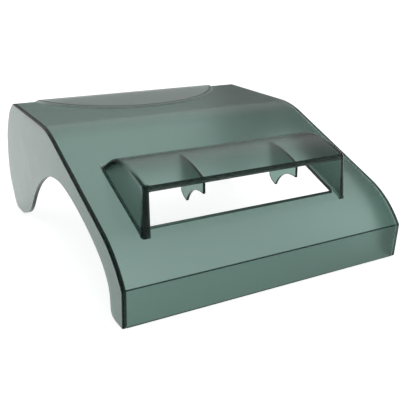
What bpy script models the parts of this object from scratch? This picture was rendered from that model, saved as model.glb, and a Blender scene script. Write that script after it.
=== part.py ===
"""Smoked plastic roof vent cover: a sloping shell on two side cheeks, with a louvred hood.

Metres, +Z up, the front faces -Y.  Outlines are drawn in (y, z), with y counted from the foot
of the front skirt, and everything is then moved so that the origin lies under the middle of
the overall box.
"""
import math

import bmesh
import bpy
from mathutils import Vector

# Overall sizes
WIDTH = 0.300
WALL = 0.0038
GAP = 0.0003

# Shell outline: skirt, front curve, slope, shoulder and top
CREASE = Vector((-0.0032, 0.03475))
CREASE_ANGLE = math.radians(57.7)
FRONT_RADIUS = 0.0937
SLOPE_ANGLE = math.radians(22.75)
SLOPE_LENGTH = 0.1368
SHOULDER_RADIUS = 0.1105
TOP_ANGLE = math.radians(2.3)
TOP_REAR_Y = 0.3208
ARC_STEP = math.radians(3.0)

# Cheek outline: bulging rear edge, foot, arch, and the band along the slope
REAR_CORNER_LEAD = 0.010
CHEEK_REAR = [(0.3295, 0.1334), (0.3390, 0.1285), (0.3498, 0.1195), (0.3680, 0.0976),
              (0.3772, 0.0757), (0.3823, 0.0530), (0.3812, 0.0350), (0.3740, 0.0195),
              (0.3655, 0.0065)]
FOOT_REAR = (0.3555, 0.0)
FOOT_FRONT = (0.3330, 0.0)
CHEEK_ARCH = [(0.3180, 0.0032), (0.2953, 0.0111), (0.2780, 0.0220), (0.2535, 0.0454),
              (0.2271, 0.0647), (0.1930, 0.0806), (0.1600, 0.0856), (0.1323, 0.0831),
              (0.0975, 0.0730), (0.0664, 0.0597), (0.0430, 0.0455), (0.0302, 0.0319),
              (0.0258, 0.0200), (0.0256, 0.0070)]
PILLAR_BACK = (0.0222, 0.0015)
PILLAR_FOOT = (0.0150, 0.0)
CURVE_STEPS = 5
RIM_RADIUS = 0.0008

# Window in the slope and the hood over it
WINDOW_LEFT = -0.1112
WINDOW_RIGHT = 0.0938
WINDOW_SILL_Y = 0.0362
WINDOW_REAR_Y = 0.1188
HOOD_FRONT_Y = 0.0247
HOOD_CREST = Vector((0.0738, 0.1205))
HOOD_FRONT_RADIUS = 0.1147
HOOD_REAR_RADIUS = 0.0606
HOOD_REAR_ANGLE = math.radians(28.8)
HOOD_ROOF_WALL = 0.0050
HOOD_LEFT_FOOT_WALL = 0.0073
HOOD_RIGHT_FOOT_WALL = 0.0062
HOOD_DRAFT = math.radians(3.5)
HOOD_STATIONS = 24
HOOD_RIM_RADIUS = 0.0034
RIM_SEGMENTS = 3

# Ribs that hang under the hood, each with a round notch
RIB_THICKNESS = 0.0026
RIB_LEFT_X = -0.0591
RIB_RIGHT_X = 0.0393
RIB_FRONT_BOTTOM_Z = 0.0938
NOTCH_CENTRE = Vector((0.0318, 0.0676))
NOTCH_RADIUS = 0.02715
NOTCH_STATIONS = 14
RIB_TIP = (0.0580, 0.0794)
RIB_HEEL = (0.0629, 0.0819)
RIB_BACK_LOW = (0.0669, 0.0861)
RIB_BACK_TOP_Y = 0.0700
RIB_ROOF_STATIONS = 8

# Raised finger pad at the back of the top
PAD_ARC_CENTRE = Vector((-0.0045, 0.3630))
PAD_ARC_RADIUS = 0.1285
PAD_HEIGHT = 0.0024
PAD_EDGE_RUN = 0.0045
PAD_EDGE_SET_BACK = 0.0010
PAD_EDGE_RADIUS = 0.0010
PAD_STATIONS = 32

# Smoked, glossy moulding plastic
SMOKE_COLOR = (0.32, 0.41, 0.38, 1.0)
SMOKE_ROUGHNESS = 0.18
SMOKE_ALPHA = 0.6


def clear_scene():
    for item in list(bpy.data.objects):
        bpy.data.objects.remove(item, do_unlink=True)


def smoked_plastic(name):
    material = bpy.data.materials.new(name + "_plastic")
    material.use_nodes = True
    shader = material.node_tree.nodes["Principled BSDF"]
    shader.inputs["Base Color"].default_value = SMOKE_COLOR
    shader.inputs["Metallic"].default_value = 0.0
    shader.inputs["Roughness"].default_value = SMOKE_ROUGHNESS
    shader.inputs["Alpha"].default_value = SMOKE_ALPHA
    return material


def normal_at(angle):
    """Outward normal of the shell where it climbs rearwards at this angle."""
    return Vector((-math.sin(angle), math.cos(angle)))


def tangent_at(angle):
    return Vector((math.cos(angle), math.sin(angle)))


def arc(centre, radius, start, end):
    """Points on a shell arc, from one climb angle to another."""
    count = max(2, math.ceil(abs(start - end) / ARC_STEP))
    steps = [start + (end - start) * i / count for i in range(count + 1)]
    return [centre + radius * normal_at(angle) for angle in steps]


def front_centre():
    """Centre of the front curve's arc."""
    return CREASE - FRONT_RADIUS * normal_at(CREASE_ANGLE)


def slope_line(y):
    """Height of the straight slope's line, carried on past both its ends."""
    slope_start = front_centre() + FRONT_RADIUS * normal_at(SLOPE_ANGLE)
    return slope_start.y + (y - slope_start.x) * math.tan(SLOPE_ANGLE)


def shell_curve(inset=0.0):
    """Shell outline from the crease to the rear edge, moved inwards by inset."""
    slope_start = front_centre() + FRONT_RADIUS * normal_at(SLOPE_ANGLE)
    slope_end = slope_start + SLOPE_LENGTH * tangent_at(SLOPE_ANGLE)
    shoulder_centre = slope_end - SHOULDER_RADIUS * normal_at(SLOPE_ANGLE)
    points = arc(front_centre(), FRONT_RADIUS - inset, CREASE_ANGLE, SLOPE_ANGLE)
    points += arc(shoulder_centre, SHOULDER_RADIUS - inset, SLOPE_ANGLE, TOP_ANGLE)
    run = TOP_REAR_Y - points[-1].x
    points.append(points[-1] + Vector((run, run * math.tan(TOP_ANGLE))))
    return points


def height_on(curve, y):
    """Height of a curve, given as points in order of y, at one y."""
    for low, high in zip(curve, curve[1:]):
        if low.x <= y <= high.x:
            share = (y - low.x) / (high.x - low.x)
            return low.y + share * (high.y - low.y)
    raise ValueError("y is outside the curve")


def smooth_through(points, steps=CURVE_STEPS):
    """Catmull-Rom curve through the points, without the first and the last one."""
    points = [Vector(point) for point in points]
    curve = []
    for before, start, end, after in zip(points, points[1:], points[2:], points[3:]):
        for i in range(steps):
            t = i / steps
            curve.append(0.5 * (2.0 * start + (end - before) * t
                                + (2.0 * before - 5.0 * start + 4.0 * end - after) * t ** 2
                                + (3.0 * start - before - 3.0 * end + after) * t ** 3))
    curve.append(points[-2])
    return curve


def skirt_normal():
    along = CREASE.normalized()
    return Vector((-along.y, along.x))


def inner_crease():
    """Inner corner of the wall behind the crease, on the bisector of its two faces."""
    slope = normal_at(CREASE_ANGLE)
    skirt = skirt_normal()
    return CREASE - WALL * (slope + skirt) / (1.0 + slope.dot(skirt))


def cheek_outline():
    shell = shell_curve()
    before_rear = shell[-1] - REAR_CORNER_LEAD * tangent_at(TOP_ANGLE)
    rear = smooth_through([before_rear, shell[-1]] + CHEEK_REAR + [FOOT_REAR, FOOT_FRONT])
    arch = smooth_through([FOOT_REAR, FOOT_FRONT] + CHEEK_ARCH + [PILLAR_BACK, PILLAR_FOOT])
    return [Vector((0.0, 0.0))] + shell + rear[1:] + arch + [Vector(PILLAR_FOOT)]


def y_middle():
    depths = [point.x for point in cheek_outline()]
    return (min(depths) + max(depths)) / 2.0


Y_MIDDLE = y_middle()


def prism(name, outline, x_low, x_high, draft=0.0):
    """Closed solid between two X planes.

    Draft leans the face further from x = 0 inwards, the more the higher it is over the slope.
    """
    mesh = bpy.data.meshes.new(name)
    solid = bmesh.new()
    ends = []
    for x in (x_low, x_high):
        lean = 0.0
        if draft and abs(x) == max(abs(x_low), abs(x_high)):
            lean = -math.copysign(math.tan(draft), x)
        ends.append([solid.verts.new((x + lean * (p.y - slope_line(p.x)), p.x - Y_MIDDLE, p.y))
                     for p in outline])
    solid.faces.new(ends[0])
    solid.faces.new(ends[1])
    count = len(outline)
    for i in range(count):
        j = (i + 1) % count
        solid.faces.new((ends[0][i], ends[0][j], ends[1][j], ends[1][i]))
    bmesh.ops.recalc_face_normals(solid, faces=solid.faces)
    solid.to_mesh(mesh)
    solid.free()
    piece = bpy.data.objects.new(name, mesh)
    bpy.context.scene.collection.objects.link(piece)
    mesh.materials.append(smoked_plastic(name))
    return piece


def round_edges(piece, chosen, radius, segments=RIM_SEGMENTS):
    """Round the edges that the chosen test picks by their two end points."""
    solid = bmesh.new()
    solid.from_mesh(piece.data)
    edges = [edge for edge in solid.edges if chosen(edge.verts[0].co, edge.verts[1].co)]
    bmesh.ops.bevel(solid, geom=edges, offset=radius, segments=segments, profile=0.5,
                    affect="EDGES", clamp_overlap=True)
    solid.to_mesh(piece.data)
    solid.free()


def shade(piece, angle=math.radians(20.0)):
    piece.data.shade_smooth()
    piece.data.set_sharp_from_angle(angle=angle)


def make_top_shell():
    """Curved plate from the crease to the rear edge, with the window cut through it."""
    outer = shell_curve()
    corner = inner_crease()
    inner = [point for point in shell_curve(WALL) if point.x > corner.x]
    reach = WIDTH / 2.0 - WALL - GAP
    plate = prism("top_shell", outer + inner[::-1] + [corner], -reach, reach)
    cutter = make_window_cutter()
    cut = plate.modifiers.new("window", "BOOLEAN")
    cut.operation = "DIFFERENCE"
    cut.solver = "EXACT"
    cut.object = cutter
    shade(plate)


def make_window_cutter():
    low = 0.0
    high = HOOD_CREST.y
    outline = [Vector((WINDOW_SILL_Y, low)), Vector((WINDOW_REAR_Y, low)),
               Vector((WINDOW_REAR_Y, high)), Vector((WINDOW_SILL_Y, high))]
    cutter = prism("window_cutter", outline, WINDOW_LEFT, WINDOW_RIGHT)
    cutter.hide_render = True
    cutter.display_type = "WIRE"
    return cutter


def make_front_skirt():
    """Upright strip below the crease, with its top edge on the crease's mitre."""
    down = -CREASE.normalized() * GAP
    inward = -skirt_normal() * WALL
    foot_inner = Vector((inward.x - inward.y * CREASE.x / CREASE.y, 0.0))
    outline = [Vector((0.0, 0.0)), CREASE + down, inner_crease() + down, foot_inner]
    reach = WIDTH / 2.0 - WALL - GAP
    prism("front_skirt", outline, -reach, reach)


def make_cheek(name, side):
    """Side wall with its arch and its leg; its edge is flush with the shell."""
    outer = side * WIDTH / 2.0
    inner = outer - side * WALL
    cheek = prism(name, cheek_outline(), min(outer, inner), max(outer, inner))

    def on_outer_rim(a, b):
        on_face = abs(a.x - outer) < GAP and abs(b.x - outer) < GAP
        return on_face and max(a.z, b.z) > RIM_RADIUS

    round_edges(cheek, on_outer_rim, RIM_RADIUS, segments=2)
    shade(cheek)


def make_finger_pad():
    """Thin lens-shaped plate on the top, with a sloped edge along the arc at its front."""
    rear_y = TOP_REAR_Y - PAD_EDGE_SET_BACK
    top = shell_curve()
    mesh = bpy.data.meshes.new("finger_pad")
    solid = bmesh.new()
    rims = []
    for lift, radius in ((GAP, PAD_ARC_RADIUS), (PAD_HEIGHT, PAD_ARC_RADIUS - PAD_EDGE_RUN)):
        half_angle = math.acos((PAD_ARC_CENTRE.y - rear_y) / radius)
        rim = []
        for i in range(PAD_STATIONS + 1):
            angle = half_angle * (2.0 * i / PAD_STATIONS - 1.0)
            x = PAD_ARC_CENTRE.x + radius * math.sin(angle)
            y = PAD_ARC_CENTRE.y - radius * math.cos(angle)
            rim.append(solid.verts.new((x, y - Y_MIDDLE, height_on(top, y) + lift)))
        rims.append(rim)
    solid.faces.new(rims[0])
    solid.faces.new(rims[1])
    count = PAD_STATIONS + 1
    for i in range(count):
        j = (i + 1) % count
        solid.faces.new((rims[0][i], rims[0][j], rims[1][j], rims[1][i]))
    bmesh.ops.recalc_face_normals(solid, faces=solid.faces)
    solid.to_mesh(mesh)
    solid.free()
    pad = bpy.data.objects.new("finger_pad", mesh)
    bpy.context.scene.collection.objects.link(pad)
    mesh.materials.append(smoked_plastic("finger_pad"))

    def on_top_rim(a, b):
        return all(abs(p.z - height_on(top, p.y + Y_MIDDLE) - PAD_HEIGHT) < GAP for p in (a, b))

    round_edges(pad, on_top_rim, PAD_EDGE_RADIUS)
    shade(pad)


def hood_height(y, inset=0.0):
    """Height of the hood's roof: an arc up to the crest, a tighter one, then a straight run."""
    run = y - HOOD_CREST.x
    radius = HOOD_FRONT_RADIUS if run < 0.0 else HOOD_REAR_RADIUS
    arc_run = (radius - inset) * math.sin(HOOD_REAR_ANGLE)
    straight = max(run - arc_run, 0.0)
    rise = math.sqrt((radius - inset) ** 2 - min(run, arc_run) ** 2)
    return HOOD_CREST.y - radius + rise - straight * math.tan(HOOD_REAR_ANGLE)


def spread(start, end, count):
    return [start + (end - start) * i / count for i in range(count + 1)]


def make_hood_roof():
    """Arched roof of the hood between its side walls, down to the window's rear edge."""
    rear_y = WINDOW_REAR_Y - GAP
    stations = spread(HOOD_FRONT_Y, rear_y, HOOD_STATIONS)
    outer = [Vector((y, hood_height(y))) for y in stations]
    inner = [Vector((y, hood_height(y, HOOD_ROOF_WALL))) for y in stations]
    roof = prism("hood_roof", outer + inner[::-1], WINDOW_LEFT + GAP, WINDOW_RIGHT - GAP)
    shade(roof)


def make_hood_wall(name, inner_x, outer_x):
    """Side wall of the hood, standing on the slope beside the window."""
    shell = shell_curve()
    stations = spread(HOOD_FRONT_Y, WINDOW_REAR_Y - GAP, HOOD_STATIONS)
    top = [Vector((y, hood_height(y))) for y in stations]
    foot = [Vector((y, height_on(shell, y) + GAP)) for y in stations]
    outline = [point for point in top if point.y > height_on(shell, point.x) + 2.0 * GAP]
    outline += foot[:len(outline)][::-1]
    wall = prism(name, outline, min(inner_x, outer_x), max(inner_x, outer_x), draft=HOOD_DRAFT)
    last_y = outline[len(outline) // 2 - 1].x - HOOD_RIM_RADIUS

    def on_rim(a, b):
        outside = all(abs(p.x - inner_x) > WALL / 4.0 for p in (a, b))
        crown = all(abs(p.z - hood_height(p.y + Y_MIDDLE)) < GAP for p in (a, b))
        front = all(p.y + Y_MIDDLE - HOOD_FRONT_Y < GAP for p in (a, b))
        return outside and (front or (crown and max(a.y, b.y) + Y_MIDDLE < last_y))

    round_edges(wall, on_rim, HOOD_RIM_RADIUS)
    shade(wall)


def make_rib(name, x):
    """Thin upright plate under the hood's roof, with a round notch in its lower edge."""
    roof_stations = spread(RIB_BACK_TOP_Y, HOOD_FRONT_Y, RIB_ROOF_STATIONS)
    under_roof = [Vector((y, hood_height(y, HOOD_ROOF_WALL) - GAP)) for y in roof_stations]
    start = Vector((HOOD_FRONT_Y, RIB_FRONT_BOTTOM_Z)) - NOTCH_CENTRE
    end = Vector(RIB_TIP) - NOTCH_CENTRE
    start_angle = math.atan2(start.y, start.x)
    end_angle = math.atan2(end.y, end.x)
    notch = []
    for angle in spread(start_angle, end_angle, NOTCH_STATIONS):
        notch.append(NOTCH_CENTRE + NOTCH_RADIUS * Vector((math.cos(angle), math.sin(angle))))
    back = [Vector(RIB_HEEL), Vector(RIB_BACK_LOW)]
    half = RIB_THICKNESS / 2.0
    rib = prism(name, under_roof + notch + back, x - half, x + half)
    shade(rib)


clear_scene()
make_top_shell()
make_front_skirt()
make_cheek("left_cheek", -1.0)
make_cheek("right_cheek", 1.0)
make_finger_pad()
make_hood_roof()
make_hood_wall("hood_left_wall", WINDOW_LEFT, WINDOW_LEFT - HOOD_LEFT_FOOT_WALL)
make_hood_wall("hood_right_wall", WINDOW_RIGHT, WINDOW_RIGHT + HOOD_RIGHT_FOOT_WALL)
make_rib("hood_left_rib", RIB_LEFT_X)
make_rib("hood_right_rib", RIB_RIGHT_X)
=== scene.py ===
"""Looks of the smoked plastic roof vent cover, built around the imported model.

Metres, +Z up, the front faces -Y.  Outlines are drawn in (y, z) with y counted from the foot
of the front skirt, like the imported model's own, and are moved into the frame by FOOT_Y.
"""
import math

import bmesh
import bpy
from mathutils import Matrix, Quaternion, Vector


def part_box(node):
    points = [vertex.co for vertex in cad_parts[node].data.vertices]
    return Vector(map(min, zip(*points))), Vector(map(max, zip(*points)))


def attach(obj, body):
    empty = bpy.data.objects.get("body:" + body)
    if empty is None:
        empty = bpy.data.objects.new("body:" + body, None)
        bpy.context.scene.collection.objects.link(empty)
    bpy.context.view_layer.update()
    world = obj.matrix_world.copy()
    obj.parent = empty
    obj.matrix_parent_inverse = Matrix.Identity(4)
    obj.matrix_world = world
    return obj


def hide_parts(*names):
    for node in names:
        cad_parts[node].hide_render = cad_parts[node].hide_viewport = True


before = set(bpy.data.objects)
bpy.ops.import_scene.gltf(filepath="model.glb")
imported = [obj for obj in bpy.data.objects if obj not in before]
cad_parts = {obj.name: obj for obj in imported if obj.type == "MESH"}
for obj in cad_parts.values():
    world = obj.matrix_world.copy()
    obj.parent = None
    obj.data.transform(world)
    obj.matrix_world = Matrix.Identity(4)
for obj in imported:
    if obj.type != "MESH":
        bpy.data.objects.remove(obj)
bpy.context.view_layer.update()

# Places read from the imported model
SHELL_LOW, SHELL_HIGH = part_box("top_shell")
CHEEK_LOW, CHEEK_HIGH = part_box("left_cheek")
RIGHT_LOW, RIGHT_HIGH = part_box("right_cheek")
ROOF_LOW, ROOF_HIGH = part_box("hood_roof")
HOOD_LEFT_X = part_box("hood_left_wall")[0].x
HOOD_RIGHT_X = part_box("hood_right_wall")[1].x
LEFT_RIB_LOW, LEFT_RIB_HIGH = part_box("hood_left_rib")
RIGHT_RIB_LOW, RIGHT_RIB_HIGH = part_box("hood_right_rib")

# Seams, and the rounding of edges sharper than an angle
GAP = 0.0003
SEAM = 0.00012
WALL = CHEEK_HIGH.x - CHEEK_LOW.x
EDGE_RADIUS = 0.0007
SHEET_EDGE_RADIUS = 0.0014
SKIRT_EDGE_RADIUS = 0.3 * EDGE_RADIUS
HOOD_EDGE_RADIUS = 0.0005
RIB_EDGE_RADIUS = 0.0004
SHARP_ANGLE = math.radians(35.0)
HOOD_SHARP_ANGLE = math.radians(50.0)
PAD_SHARP_ANGLE = math.radians(15.0)
QUARTER = math.radians(90.0)
INNER_DEPTH = 0.7
CHEEK_INNER_DEPTH = 0.3

# Shell outline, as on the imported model
CREASE = Vector((-0.0032, 0.03475))
CREASE_ANGLE = math.radians(57.7)
FRONT_RADIUS = 0.0937
SLOPE_ANGLE = math.radians(22.75)
SLOPE_LENGTH = 0.1368
SHOULDER_RADIUS = 0.1105
TOP_ANGLE = math.radians(2.3)
ARC_STEP = math.radians(1.2)
FOOT_Y = SHELL_LOW.y - CREASE.x
TOP_REAR_Y = SHELL_HIGH.y - FOOT_Y

# Cheek outline
REAR_CORNER_LEAD = 0.010
CHEEK_REAR = [(0.3295, 0.1334), (0.3390, 0.1285), (0.3498, 0.1195), (0.3680, 0.0976),
              (0.3772, 0.0757), (0.3823, 0.0530), (0.3812, 0.0350), (0.3740, 0.0195),
              (0.3655, 0.0065)]
FOOT_REAR = (0.3555, 0.0)
FOOT_FRONT = (0.3330, 0.0)
CHEEK_ARCH = [(0.3180, 0.0032), (0.2953, 0.0111), (0.2780, 0.0220), (0.2535, 0.0454),
              (0.2271, 0.0647), (0.1930, 0.0806), (0.1600, 0.0856), (0.1323, 0.0831),
              (0.0975, 0.0730), (0.0664, 0.0597), (0.0430, 0.0455), (0.0302, 0.0319),
              (0.0258, 0.0200), (0.0256, 0.0070)]
PILLAR_BACK = (0.0222, 0.0015)
PILLAR_FOOT = (0.0150, 0.0)
CURVE_STEPS = 12

# Window and hood
WINDOW_SILL_Y = 0.0362
WINDOW_CORNER = 0.0016
WINDOW_CORNER_STEPS = 5
HOOD_CREST = Vector((0.0738, 0.1205))
HOOD_FRONT_RADIUS = 0.1147
HOOD_REAR_RADIUS = 0.0606
HOOD_REAR_ANGLE = math.radians(28.8)
HOOD_ROOF_WALL = 0.0050
HOOD_DRAFT = math.radians(3.5)
HOOD_CORNER = 0.0042
HOOD_FRONT_CORNER = 0.0034
HOOD_INNER_CORNER = 0.0010
HOOD_FILLET = 0.0010
HOOD_CORNER_SHARE = 0.9
HOOD_FILLET_SHARE = 0.45
HOOD_INNER_SHARE = 0.4
HOOD_CORNER_STEPS = 8
HOOD_FILLET_STEPS = 5
HOOD_INNER_STEPS = 4
HOOD_STATIONS = 56
HOOD_FRONT_ROWS = 6
HOOD_REAR_BLEND = 0.006
HOOD_REAR_ROWS = 14

# Ribs
RIB_FRONT_BOTTOM_Z = 0.0938
NOTCH_CENTRE = Vector((0.0318, 0.0676))
NOTCH_RADIUS = 0.02715
RIB_TIP = (0.0580, 0.0794)
RIB_HEEL = (0.0629, 0.0819)
RIB_BACK_LOW = (0.0669, 0.0861)
RIB_BACK_TOP_Y = 0.0700
RIB_ROOF_STEPS = 16
NOTCH_STEPS = 24

# Finger pad
PAD_ARC_CENTRE = Vector((-0.0045, 0.3630))
PAD_ARC_RADIUS = 0.1285
PAD_HEIGHT = 0.0024
PAD_EDGE_RUN = 0.0045
PAD_EDGE_SET_BACK = 0.0010
PAD_EDGE_RADIUS = 0.0010
PAD_STATIONS = 72
PAD_SLOPE_MARGIN = 0.01
PAD_FLAT_MARGIN = math.radians(1.0)

# Plastic: absorption per metre for red, green and blue, and roughness outside and inside; the
# absorption differs per piece as painted light and shade
PLASTIC_IOR = 1.49
SPECULAR = (0.25, 0.34, 0.30, 1.0)
DENSITY_MARGIN = 20.0
SHELL_ABSORB = (345.0, 253.6, 279.5)
# The part is one plastic. The skirt, left cheek and ribs absorb more than the shell as painted shade;
# the hood, right cheek and pad absorb less as painted light.
SKIRT_PAINTED_SHADE_ABSORB = (460.0, 338.1, 372.6)
HOOD_PAINTED_LIGHT_ABSORB = (250.0, 183.8, 202.5)
CHEEK_PAINTED_SHADE_ABSORB = (410.0, 293.0, 326.0)
RIB_PAINTED_SHADE_ABSORB = (540.0, 396.9, 437.4)
RIGHT_PAINTED_LIGHT_ABSORB = (190.0, 139.6, 153.9)
PAD_PAINTED_LIGHT_ABSORB = (16.0, 9.0, 11.5)
POLISHED = 0.16
FROSTED = 0.48
HOOD_FROSTED = 0.38
GRAIN_SCALE = 35.0
GRAIN_DETAIL = 2.0
GRAIN_DEPTH = 0.03
WHITE = (1.0, 1.0, 1.0, 1.0)

# Painted shade on cut edges: a dark base colour on the window's cut faces, the hood's front posts and
# the pad's sloped edge
RIM_PAINTED_SHADE = (0.10, 0.15, 0.13, 1.0)
RIM_LEVEL = 0.985
POST_LEVEL = 0.5

# Floor and surroundings
FLOOR_GLOW = 0.75
FLOOR_COLOR = (0.86, 0.86, 0.86, 1.0)
FLOOR_ROUGHNESS = 0.9
FLOOR_REACH = 30.0
FLOOR_DROP = 0.0002
WORLD_LOW = 0.32
WORLD_HIGH = 0.26
WORLD_LEAN = (0.16, 0.20, 0.0)
WORLD_LOW_LEAN = (0.08, -0.14, 0.0)
WORLD_RISE = (0.2, 0.5)

# Camera, a three-quarter view from the front left
CAMERA_AZIMUTH = math.radians(-28.79)
CAMERA_ELEVATION = math.radians(18.78)
CAMERA_ROLL = math.radians(-0.605)
CAMERA_DISTANCE = 0.720
CAMERA_AIM = Vector((0.0217, FOOT_Y + 0.1734, 0.0277))
CAMERA_LENS = 55.224
CAMERA_SENSOR = 36.0
CAMERA_CLIP = 0.01


# ---------------------------------------------------------------- outlines
def normal_at(angle):
    """Outward normal of the shell where it climbs rearwards at this angle."""
    return Vector((-math.sin(angle), math.cos(angle)))


def tangent_at(angle):
    return Vector((math.cos(angle), math.sin(angle)))


def spread(start, end, count):
    return [start + (end - start) * i / count for i in range(count + 1)]


def arc(centre, radius, start, end):
    count = max(2, math.ceil(abs(start - end) / ARC_STEP))
    return [centre + radius * normal_at(angle) for angle in spread(start, end, count)]


def front_centre():
    return CREASE - FRONT_RADIUS * normal_at(CREASE_ANGLE)


def shell_curve(inset=0.0):
    """Shell outline from the crease to the rear edge, moved inwards by inset."""
    slope_start = front_centre() + FRONT_RADIUS * normal_at(SLOPE_ANGLE)
    slope_end = slope_start + SLOPE_LENGTH * tangent_at(SLOPE_ANGLE)
    shoulder_centre = slope_end - SHOULDER_RADIUS * normal_at(SLOPE_ANGLE)
    points = arc(front_centre(), FRONT_RADIUS - inset, CREASE_ANGLE, SLOPE_ANGLE)
    points += arc(shoulder_centre, SHOULDER_RADIUS - inset, SLOPE_ANGLE, TOP_ANGLE)
    run = TOP_REAR_Y - points[-1].x
    points.append(points[-1] + Vector((run, run * math.tan(TOP_ANGLE))))
    return points


def height_on(curve, y):
    for low, high in zip(curve, curve[1:]):
        if low.x <= y <= high.x:
            share = (y - low.x) / (high.x - low.x)
            return low.y + share * (high.y - low.y)
    raise ValueError("y is outside the curve")


def smooth_through(points, steps=CURVE_STEPS):
    """Catmull-Rom curve through the points, without the first and the last one."""
    points = [Vector(point) for point in points]
    curve = []
    for before, start, end, after in zip(points, points[1:], points[2:], points[3:]):
        for i in range(steps):
            t = i / steps
            curve.append(0.5 * (2.0 * start + (end - before) * t
                                + (2.0 * before - 5.0 * start + 4.0 * end - after) * t ** 2
                                + (3.0 * start - before - 3.0 * end + after) * t ** 3))
    curve.append(points[-2])
    return curve


def skirt_normal():
    along = CREASE.normalized()
    return Vector((-along.y, along.x))


def inner_crease():
    slope = normal_at(CREASE_ANGLE)
    skirt = skirt_normal()
    return CREASE - WALL * (slope + skirt) / (1.0 + slope.dot(skirt))


def cheek_outline():
    shell = shell_curve()
    before_rear = shell[-1] - REAR_CORNER_LEAD * tangent_at(TOP_ANGLE)
    rear = smooth_through([before_rear, shell[-1]] + CHEEK_REAR + [FOOT_REAR, FOOT_FRONT])
    arch = smooth_through([FOOT_REAR, FOOT_FRONT] + CHEEK_ARCH + [PILLAR_BACK, PILLAR_FOOT])
    return [Vector((0.0, 0.0))] + shell + rear[1:] + arch + [Vector(PILLAR_FOOT)]


def hood_height(y, inset=0.0):
    """Height of the hood's roof: an arc up to the crest, a tighter one, then a straight run."""
    run = y - HOOD_CREST.x
    radius = HOOD_FRONT_RADIUS if run < 0.0 else HOOD_REAR_RADIUS
    arc_run = (radius - inset) * math.sin(HOOD_REAR_ANGLE)
    straight = max(run - arc_run, 0.0)
    rise = math.sqrt((radius - inset) ** 2 - min(run, arc_run) ** 2)
    return HOOD_CREST.y - radius + rise - straight * math.tan(HOOD_REAR_ANGLE)


# ---------------------------------------------------------------- mesh helpers
def new_piece(name, solid, material):
    bmesh.ops.recalc_face_normals(solid, faces=solid.faces)
    mesh = bpy.data.meshes.new(name)
    solid.to_mesh(mesh)
    solid.free()
    mesh.materials.append(material)
    piece = bpy.data.objects.new(name, mesh)
    bpy.context.scene.collection.objects.link(piece)
    return piece


def prism(name, outline, x_low, x_high, material):
    """Closed solid between two X planes."""
    solid = bmesh.new()
    ends = [[solid.verts.new((x, p.x + FOOT_Y, p.y)) for p in outline]
            for x in (x_low, x_high)]
    solid.faces.new(ends[0])
    solid.faces.new(ends[1])
    count = len(outline)
    for i in range(count):
        j = (i + 1) % count
        solid.faces.new((ends[0][i], ends[0][j], ends[1][j], ends[1][i]))
    return new_piece(name, solid, material)


def soften(piece, width, segments=3, angle=SHARP_ANGLE):
    """Rounds the piece's sharp edges with a bevel."""
    bevel = piece.modifiers.new("soft_edges", "BEVEL")
    bevel.width = width
    bevel.segments = segments
    bevel.limit_method = "ANGLE"
    bevel.angle_limit = angle
    bevel.use_clamp_overlap = True
    bevel.harden_normals = False
    piece.data.shade_smooth()
    keep_sharp = piece.modifiers.new("weighted", "WEIGHTED_NORMAL")
    keep_sharp.keep_sharp = True
    keep_sharp.weight = 100


def stand_for(piece, *nodes):
    """Fixes the piece to the body and lets it stand in for the nodes."""
    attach(piece, "root")
    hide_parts(*nodes)


# ---------------------------------------------------------------- plastic
def smoked_plastic(name, polished, frosted, absorb):
    """Clear plastic that absorbs along the ray.

    Its "inner" points are frosted and its "rim" faces carry painted shade, a dark base colour; the
    rest is polished and clear.
    """
    material = bpy.data.materials.new(name)
    material.use_nodes = True
    tree = material.node_tree
    shader = tree.nodes["Principled BSDF"]
    shader.inputs["Transmission Weight"].default_value = 1.0
    shader.inputs["IOR"].default_value = PLASTIC_IOR
    shader.inputs["Specular Tint"].default_value = SPECULAR
    place = tree.nodes.new("ShaderNodeTexCoord")
    grain = tree.nodes.new("ShaderNodeTexNoise")
    grain.inputs["Scale"].default_value = GRAIN_SCALE
    grain.inputs["Detail"].default_value = GRAIN_DETAIL
    tree.links.new(place.outputs["Object"], grain.inputs["Vector"])
    side = tree.nodes.new("ShaderNodeAttribute")
    side.attribute_name = "inner"
    base = tree.nodes.new("ShaderNodeMapRange")
    base.inputs["To Min"].default_value = polished
    base.inputs["To Max"].default_value = frosted
    tree.links.new(side.outputs["Fac"], base.inputs["Value"])
    ripple = tree.nodes.new("ShaderNodeMapRange")
    ripple.inputs["To Min"].default_value = -GRAIN_DEPTH
    ripple.inputs["To Max"].default_value = GRAIN_DEPTH
    tree.links.new(grain.outputs["Fac"], ripple.inputs["Value"])
    total = tree.nodes.new("ShaderNodeMath")
    tree.links.new(base.outputs["Result"], total.inputs[0])
    tree.links.new(ripple.outputs["Result"], total.inputs[1])
    tree.links.new(total.outputs["Value"], shader.inputs["Roughness"])
    # The "rim" attribute picks the faces that get painted shade: a dark base colour in place of the
    # darkness the plastic shows edge-on.
    rim = tree.nodes.new("ShaderNodeAttribute")
    rim.attribute_name = "rim"
    edge_shade_mix = tree.nodes.new("ShaderNodeMix")
    edge_shade_mix.data_type = "RGBA"
    edge_shade_mix.inputs["A"].default_value = WHITE
    edge_shade_mix.inputs["B"].default_value = RIM_PAINTED_SHADE
    tree.links.new(rim.outputs["Fac"], edge_shade_mix.inputs["Factor"])
    tree.links.new(edge_shade_mix.outputs["Result"], shader.inputs["Base Color"])
    density = max(absorb) + DENSITY_MARGIN
    volume = tree.nodes.new("ShaderNodeVolumeAbsorption")
    volume.inputs["Density"].default_value = density
    volume.inputs["Color"].default_value = tuple(1.0 - a / density for a in absorb) + (1.0,)
    tree.links.new(volume.outputs["Volume"], tree.nodes["Material Output"].inputs["Volume"])
    return material


def mark_inner(piece, is_inner):
    """Applies the piece's modifiers and marks its inner faces' points."""
    apply_modifiers(piece)
    mesh = piece.data
    mark = mesh.attributes.new("inner", "FLOAT", "POINT")
    for vertex in mesh.vertices:
        mark.data[vertex.index].value = 1.0 if is_inner(vertex.co) else 0.0


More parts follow.
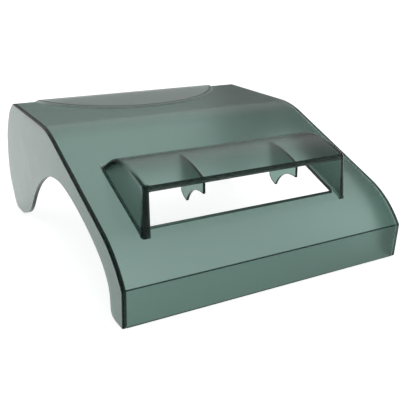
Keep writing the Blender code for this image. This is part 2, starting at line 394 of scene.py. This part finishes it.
def mark_painted_shade(piece, gets_painted_shade):
    """Marks the faces that get the painted shade, such as the cut faces round the window."""
    mesh = piece.data
    mark = mesh.attributes.new("rim", "FLOAT", "FACE")
    for face in mesh.polygons:
        mark.data[face.index].value = 1.0 if gets_painted_shade(face.center, face.normal) else 0.0


def depth_under(curve, point):
    """Distance in the Y-Z plane from a point to the curve."""
    flat = Vector((point.y - FOOT_Y, point.z))
    best = math.inf
    for low, high in zip(curve, curve[1:]):
        run = high - low
        share = min(max((flat - low).dot(run) / run.length_squared, 0.0), 1.0)
        best = min(best, (flat - low - share * run).length)
    return best


# ---------------------------------------------------------------- pieces
def make_top(material):
    """Front curve, slope, shoulder and top as one bent sheet, with the window cut through it."""
    outer = shell_curve()
    corner = inner_crease()
    inner = [point for point in shell_curve(WALL) if point.x > corner.x]
    x_low = CHEEK_HIGH.x + SEAM
    x_high = RIGHT_LOW.x - SEAM
    top = prism("top", outer + inner[::-1] + [corner], x_low, x_high, material)
    cutter = window_cutter(material)
    cut = top.modifiers.new("window", "BOOLEAN")
    cut.operation = "DIFFERENCE"
    cut.solver = "EXACT"
    cut.object = cutter
    apply_modifiers(top)
    bpy.data.objects.remove(cutter)
    soften(top, SHEET_EDGE_RADIUS)
    mark_inner(top, lambda point: depth_under(outer, point) > INNER_DEPTH * WALL)
    across = Vector((0.0, *normal_at(SLOPE_ANGLE)))

    # The window's cut faces get painted shade.
    def window_rim_shade(centre, normal):
        beside = ROOF_LOW.x - 2.0 * WINDOW_CORNER < centre.x < ROOF_HIGH.x + 2.0 * WINDOW_CORNER
        sill_y = WINDOW_SILL_Y + FOOT_Y - 2.0 * WINDOW_CORNER
        along = sill_y < centre.y < ROOF_HIGH.y + 2.0 * WINDOW_CORNER
        return beside and along and abs(normal.dot(across)) < RIM_LEVEL

    mark_painted_shade(top, window_rim_shade)
    stand_for(top, "top_shell")
    return top


def make_skirt(material):
    """Upright strip below the crease; the two sheets meet on the crease's mitre."""
    down = -CREASE.normalized() * SEAM
    inward = -skirt_normal() * WALL
    foot_inner = Vector((inward.x - inward.y * CREASE.x / CREASE.y, 0.0))
    outline = [Vector((0.0, 0.0)), CREASE + down, inner_crease() + down, foot_inner]
    skirt = prism("skirt", outline, CHEEK_HIGH.x + SEAM, RIGHT_LOW.x - SEAM, material)
    soften(skirt, SKIRT_EDGE_RADIUS)
    outside = [Vector((0.0, 0.0)), CREASE]
    mark_inner(skirt, lambda point: depth_under(outside, point) > INNER_DEPTH * WALL)
    stand_for(skirt, "front_skirt")
    return skirt


def window_cutter(material):
    """Upright prism of the window's outline, with rounded corners."""
    x_low = ROOF_LOW.x - GAP
    x_high = ROOF_HIGH.x + GAP
    y_low = WINDOW_SILL_Y + FOOT_Y
    y_high = ROOF_HIGH.y + GAP
    corners = [(x_high, y_low, -90.0), (x_high, y_high, 0.0),
               (x_low, y_high, 90.0), (x_low, y_low, 180.0)]
    solid = bmesh.new()
    rings = []
    for z in (0.0, HOOD_CREST.y + WALL):
        ring = []
        for x, y, start in corners:
            centre_x = x - math.copysign(WINDOW_CORNER, x - (x_low + x_high) / 2.0)
            centre_y = y - math.copysign(WINDOW_CORNER, y - (y_low + y_high) / 2.0)
            for angle in spread(math.radians(start), math.radians(start + 90.0), WINDOW_CORNER_STEPS):
                ring.append(solid.verts.new((centre_x + WINDOW_CORNER * math.cos(angle),
                                             centre_y + WINDOW_CORNER * math.sin(angle), z)))
        rings.append(ring)
    solid.faces.new(rings[0])
    solid.faces.new(rings[1])
    count = len(rings[0])
    for i in range(count):
        j = (i + 1) % count
        solid.faces.new((rings[0][i], rings[0][j], rings[1][j], rings[1][i]))
    return new_piece("window_cutter", solid, material)


def apply_modifiers(piece):
    graph = bpy.context.evaluated_depsgraph_get()
    mesh = bpy.data.meshes.new_from_object(piece.evaluated_get(graph))
    piece.modifiers.clear()
    piece.data = mesh


def make_cheek(name, node, x_low, x_high, material):
    """Side wall with its arch, its front pillar and its bulging rear leg."""
    cheek = prism(name, cheek_outline(), x_low, x_high, material)
    soften(cheek, EDGE_RADIUS)
    inner_x = x_high if x_high < 0.0 else x_low
    mark_inner(cheek, lambda point: abs(point.x - inner_x) < CHEEK_INNER_DEPTH * WALL)
    stand_for(cheek, node)
    return cheek


def hood_joint(shell):
    """Where the straight rear of the hood's roof meets the slope."""
    low, high = HOOD_CREST.x, shell[-1].x
    for _ in range(40):
        middle = (low + high) / 2.0
        if hood_height(middle) > height_on(shell, middle):
            low = middle
        else:
            high = middle
    return Vector((low, height_on(shell, low)))


def hood_blend(joint):
    """Ends of the concave blend between the roof and the slope, either side of the joint."""
    roof_end = joint - HOOD_REAR_BLEND * tangent_at(-HOOD_REAR_ANGLE)
    slope_end = joint + HOOD_REAR_BLEND * tangent_at(SLOPE_ANGLE)
    return roof_end, slope_end


def hood_top(y, joint):
    """Height of the hood's outer face: its roof, then a parabola that runs out on the slope."""
    start, end = hood_blend(joint)
    if y <= start.x:
        return hood_height(y)
    bend = start.x - 2.0 * joint.x + end.x
    along = joint.x - start.x
    share = (math.sqrt(along ** 2 + bend * (y - start.x)) - along) / bend
    rest = 1.0 - share
    return rest ** 2 * start.y + 2.0 * share * rest * joint.y + share ** 2 * end.y


def hood_section(y, shell, joint, tuck=0.0, behind_window=False):
    """Outer and inner U of the hood at one y, from left foot to right foot.

    Tuck draws the outer U's sides in, for the rounded front corners.  Behind the window the
    inner U lies flat on the slope.
    """
    foot_z = height_on(shell, y) + SEAM
    roof_z = max(hood_top(y, joint), foot_z + 2.0 * SEAM)
    rise = roof_z - foot_z
    corner = min(HOOD_CORNER, HOOD_CORNER_SHARE * rise)
    fillet = min(HOOD_FILLET, HOOD_FILLET_SHARE * rise)
    lean = math.tan(HOOD_DRAFT)
    outer = []
    for side, x_foot in ((-1.0, HOOD_LEFT_X), (1.0, HOOD_RIGHT_X)):
        x_low = x_foot - side * tuck
        x_high = x_low - side * lean * rise
        half = []
        for angle in spread(0.0, QUARTER, HOOD_FILLET_STEPS):
            half.append((x_low + side * fillet * (1.0 - math.sin(angle)),
                         foot_z + fillet * (1.0 - math.cos(angle))))
        for angle in spread(0.0, QUARTER, HOOD_CORNER_STEPS):
            half.append((x_high - side * corner * (1.0 - math.cos(angle)),
                         roof_z - corner * (1.0 - math.sin(angle))))
        outer += half if side < 0.0 else half[::-1]
    under_z = hood_height(y, HOOD_ROOF_WALL)
    step = abs(under_z - foot_z)
    small = math.copysign(min(HOOD_INNER_CORNER, HOOD_INNER_SHARE * step), under_z - foot_z)
    inner = []
    for side, x_wall in ((-1.0, ROOF_LOW.x), (1.0, ROOF_HIGH.x)):
        half = [(x_wall, foot_z)]
        for angle in spread(0.0, QUARTER, HOOD_INNER_STEPS):
            half.append((x_wall - side * abs(small) * (1.0 - math.cos(angle)),
                         under_z - small * (1.0 - math.sin(angle))))
        if behind_window:
            half = [(x_wall - side * SEAM * i, foot_z) for i in range(len(half))]
        inner += half if side < 0.0 else half[::-1]
    return outer, inner


def hood_rows(front_y, rear_y, blend_end):
    """Rows along the hood as (y, tuck, behind_window), close together over the rounded front."""
    rows = []
    for angle in spread(0.0, QUARTER, HOOD_FRONT_ROWS):
        rows.append((front_y + HOOD_FRONT_CORNER * (1.0 - math.cos(angle)),
                     HOOD_FRONT_CORNER * (1.0 - math.sin(angle)), False))
    start = rows.pop()[0]
    rows += [(y, 0.0, False) for y in spread(start, rear_y, HOOD_STATIONS)]
    rows += [(y, 0.0, True) for y in spread(rear_y + SEAM, blend_end, HOOD_REAR_ROWS)]
    return rows


def make_hood(material):
    """Roof and side walls of the hood as one arched shell that runs out on the slope."""
    shell = shell_curve()
    joint = hood_joint(shell)
    blend_end = hood_blend(joint)[1].x
    solid = bmesh.new()
    outer_rows = []
    inner_rows = []
    rows_along = hood_rows(ROOF_LOW.y - FOOT_Y, ROOF_HIGH.y - FOOT_Y, blend_end)
    for y, tuck, behind_window in rows_along:
        outer, inner = hood_section(y, shell, joint, tuck, behind_window)
        outer_rows.append([solid.verts.new((x, y + FOOT_Y, z)) for x, z in outer])
        inner_rows.append([solid.verts.new((x, y + FOOT_Y, z)) for x, z in inner])
    for rows in (outer_rows, inner_rows):
        for row, after in zip(rows, rows[1:]):
            for i in range(len(row) - 1):
                solid.faces.new((row[i], row[i + 1], after[i + 1], after[i]))
    for i in range(len(outer_rows) - 1):
        for end in (0, -1):
            solid.faces.new((outer_rows[i][end], outer_rows[i + 1][end],
                             inner_rows[i + 1][end], inner_rows[i][end]))
    for row in (0, -1):
        solid.faces.new(outer_rows[row] + inner_rows[row][::-1])
    hood = new_piece("hood", solid, material)
    soften(hood, HOOD_EDGE_RADIUS, angle=HOOD_SHARP_ANGLE)

    def under_roof(point):
        inside = ROOF_LOW.x - SEAM < point.x < ROOF_HIGH.x + SEAM
        return inside and point.z < hood_height(point.y - FOOT_Y, INNER_DEPTH * HOOD_ROOF_WALL)

    # The hood's front-facing post faces beside the window get painted shade.
    def post_shade(centre, normal):
        beside = centre.x < ROOF_LOW.x or centre.x > ROOF_HIGH.x
        return beside and normal.y < -POST_LEVEL

    mark_inner(hood, under_roof)
    mark_painted_shade(hood, post_shade)
    stand_for(hood, "hood_roof", "hood_left_wall", "hood_right_wall")
    return hood


def make_rib(name, node, x_low, x_high, material):
    """Thin plate under the hood's roof, with a round notch in its lower edge."""
    front_y = ROOF_LOW.y - FOOT_Y
    under_roof = [Vector((y, hood_height(y, HOOD_ROOF_WALL) - SEAM))
                  for y in spread(RIB_BACK_TOP_Y, front_y, RIB_ROOF_STEPS)]
    start = Vector((front_y, RIB_FRONT_BOTTOM_Z)) - NOTCH_CENTRE
    end = Vector(RIB_TIP) - NOTCH_CENTRE
    notch = []
    for angle in spread(math.atan2(start.y, start.x), math.atan2(end.y, end.x), NOTCH_STEPS):
        notch.append(NOTCH_CENTRE + NOTCH_RADIUS * Vector((math.cos(angle), math.sin(angle))))
    back = [Vector(RIB_HEEL), Vector(RIB_BACK_LOW)]
    rib = prism(name, under_roof + notch + back, x_low, x_high, material)
    soften(rib, RIB_EDGE_RADIUS, segments=2)
    mark_inner(rib, lambda point: False)
    stand_for(rib, node)
    return rib


def make_finger_pad(material):
    """Lens-shaped plate with a sloped edge along the arc at its front."""
    rear_y = TOP_REAR_Y - PAD_EDGE_SET_BACK
    top = shell_curve()
    solid = bmesh.new()
    rims = []
    for lift, radius in ((SEAM, PAD_ARC_RADIUS), (PAD_HEIGHT, PAD_ARC_RADIUS - PAD_EDGE_RUN)):
        half_angle = math.acos((PAD_ARC_CENTRE.y - rear_y) / radius)
        rim = []
        for angle in spread(-half_angle, half_angle, PAD_STATIONS):
            x = PAD_ARC_CENTRE.x + radius * math.sin(angle)
            y = PAD_ARC_CENTRE.y - radius * math.cos(angle)
            rim.append(solid.verts.new((x, y + FOOT_Y, height_on(top, y) + lift)))
        rims.append(rim)
    solid.faces.new(rims[0])
    solid.faces.new(rims[1])
    count = len(rims[0])
    for i in range(count):
        j = (i + 1) % count
        solid.faces.new((rims[0][i], rims[0][j], rims[1][j], rims[1][i]))
    pad = new_piece("finger_pad_cap", solid, material)
    soften(pad, PAD_EDGE_RADIUS, angle=PAD_SHARP_ANGLE)
    mark_inner(pad, lambda point: True)
    slope_level = math.cos(math.atan2(PAD_HEIGHT - SEAM, PAD_EDGE_RUN)) + PAD_SLOPE_MARGIN
    flat_level = math.cos(TOP_ANGLE + PAD_FLAT_MARGIN)
    # The rounded top of the pad's sloped edge gets painted shade: a dark line along the arc.
    mark_painted_shade(pad, lambda centre, normal: slope_level < normal.z < flat_level)
    stand_for(pad, "finger_pad")
    return pad


# ---------------------------------------------------------------- stage
def floor_material():
    material = bpy.data.materials.new("floor_white")
    material.use_nodes = True
    shader = material.node_tree.nodes["Principled BSDF"]
    shader.inputs["Base Color"].default_value = FLOOR_COLOR
    shader.inputs["Roughness"].default_value = FLOOR_ROUGHNESS
    shader.inputs["Specular IOR Level"].default_value = 0.0
    shader.inputs["Emission Color"].default_value = WHITE
    shader.inputs["Emission Strength"].default_value = FLOOR_GLOW
    return material


def make_floor():
    """Large white floor that glows a little, just under the part."""
    mesh = bpy.data.meshes.new("floor")
    corners = [(-FLOOR_REACH, -FLOOR_REACH), (FLOOR_REACH, -FLOOR_REACH),
               (FLOOR_REACH, FLOOR_REACH), (-FLOOR_REACH, FLOOR_REACH)]
    mesh.from_pydata([(x, y, -FLOOR_DROP) for x, y in corners], [], [(0, 1, 2, 3)])
    floor = bpy.data.objects.new("floor", mesh)
    bpy.context.scene.collection.objects.link(floor)
    mesh.materials.append(floor_material())


def make_world():
    """Soft white surroundings, brighter above the horizon and towards the rear and the right."""
    world = bpy.data.worlds.new("studio")
    bpy.context.scene.world = world
    world.use_nodes = True
    tree = world.node_tree
    background = tree.nodes["Background"]
    place = tree.nodes.new("ShaderNodeTexCoord")
    split = tree.nodes.new("ShaderNodeSeparateXYZ")
    lean = tree.nodes.new("ShaderNodeVectorMath")
    lean.operation = "DOT_PRODUCT"
    lean.inputs[1].default_value = WORLD_LEAN
    side = tree.nodes.new("ShaderNodeMath")
    side.inputs[1].default_value = WORLD_HIGH
    ramp = tree.nodes.new("ShaderNodeMapRange")
    ramp.interpolation_type = "SMOOTHSTEP"
    ramp.inputs["From Min"].default_value = WORLD_RISE[0]
    ramp.inputs["From Max"].default_value = WORLD_RISE[1]
    ramp.inputs["To Min"].default_value = 0.0
    ramp.inputs["To Max"].default_value = 1.0
    low_lean = tree.nodes.new("ShaderNodeVectorMath")
    low_lean.operation = "DOT_PRODUCT"
    low_lean.inputs[1].default_value = WORLD_LOW_LEAN
    low = tree.nodes.new("ShaderNodeMath")
    low.inputs[1].default_value = WORLD_LOW
    total = tree.nodes.new("ShaderNodeMath")
    total.operation = "MULTIPLY_ADD"
    tree.links.new(place.outputs["Generated"], split.inputs["Vector"])
    tree.links.new(place.outputs["Generated"], lean.inputs[0])
    tree.links.new(place.outputs["Generated"], low_lean.inputs[0])
    tree.links.new(low_lean.outputs["Value"], low.inputs[0])
    tree.links.new(low.outputs["Value"], total.inputs[2])
    tree.links.new(lean.outputs["Value"], side.inputs[0])
    tree.links.new(split.outputs["Z"], ramp.inputs["Value"])
    tree.links.new(ramp.outputs["Result"], total.inputs[0])
    tree.links.new(side.outputs["Value"], total.inputs[1])
    tree.links.new(total.outputs["Value"], background.inputs["Strength"])
    background.inputs["Color"].default_value = WHITE


def make_camera():
    """Camera that looks at its aim point along the azimuth and the elevation."""
    data = bpy.data.cameras.new("camera")
    data.lens = CAMERA_LENS
    data.sensor_width = CAMERA_SENSOR
    data.clip_start = CAMERA_CLIP
    camera = bpy.data.objects.new("camera", data)
    bpy.context.scene.collection.objects.link(camera)
    flat = math.cos(CAMERA_ELEVATION)
    back = Vector((math.sin(CAMERA_AZIMUTH) * flat, -math.cos(CAMERA_AZIMUTH) * flat,
                   math.sin(CAMERA_ELEVATION)))
    camera.location = CAMERA_AIM + CAMERA_DISTANCE * back
    level = back.to_track_quat("Z", "Y")
    camera.rotation_euler = (level @ Quaternion((0.0, 0.0, 1.0), CAMERA_ROLL)).to_euler()
    bpy.context.scene.camera = camera


# ---------------------------------------------------------------- scene
bpy.context.scene.view_settings.view_transform = "Standard"
plastic = smoked_plastic("smoked_plastic", POLISHED, FROSTED, SHELL_ABSORB)
# Copies of the one plastic: the skirt, left cheek and ribs absorb more as painted shade, the hood,
# right cheek and pad less as painted light
skirt_painted_shade_plastic = smoked_plastic("skirt_painted_shade_plastic", POLISHED, FROSTED, SKIRT_PAINTED_SHADE_ABSORB)
hood_painted_light_plastic = smoked_plastic("hood_painted_light_plastic", POLISHED, HOOD_FROSTED, HOOD_PAINTED_LIGHT_ABSORB)
cheek_painted_shade_plastic = smoked_plastic("cheek_painted_shade_plastic", POLISHED, FROSTED, CHEEK_PAINTED_SHADE_ABSORB)
right_painted_light_plastic = smoked_plastic("right_painted_light_plastic", POLISHED, FROSTED, RIGHT_PAINTED_LIGHT_ABSORB)
rib_painted_shade_plastic = smoked_plastic("rib_painted_shade_plastic", POLISHED, FROSTED, RIB_PAINTED_SHADE_ABSORB)
pad_painted_light_plastic = smoked_plastic("pad_painted_light_plastic", HOOD_FROSTED, HOOD_FROSTED, PAD_PAINTED_LIGHT_ABSORB)
make_top(plastic)
make_skirt(skirt_painted_shade_plastic)
make_cheek("cheek_left", "left_cheek", CHEEK_LOW.x, CHEEK_HIGH.x, cheek_painted_shade_plastic)
make_cheek("cheek_right", "right_cheek", RIGHT_LOW.x, RIGHT_HIGH.x, right_painted_light_plastic)
make_hood(hood_painted_light_plastic)
make_rib("rib_left", "hood_left_rib", LEFT_RIB_LOW.x, LEFT_RIB_HIGH.x, rib_painted_shade_plastic)
make_rib("rib_right", "hood_right_rib", RIGHT_RIB_LOW.x, RIGHT_RIB_HIGH.x, rib_painted_shade_plastic)
make_finger_pad(pad_painted_light_plastic)
make_floor()
make_world()
make_camera()
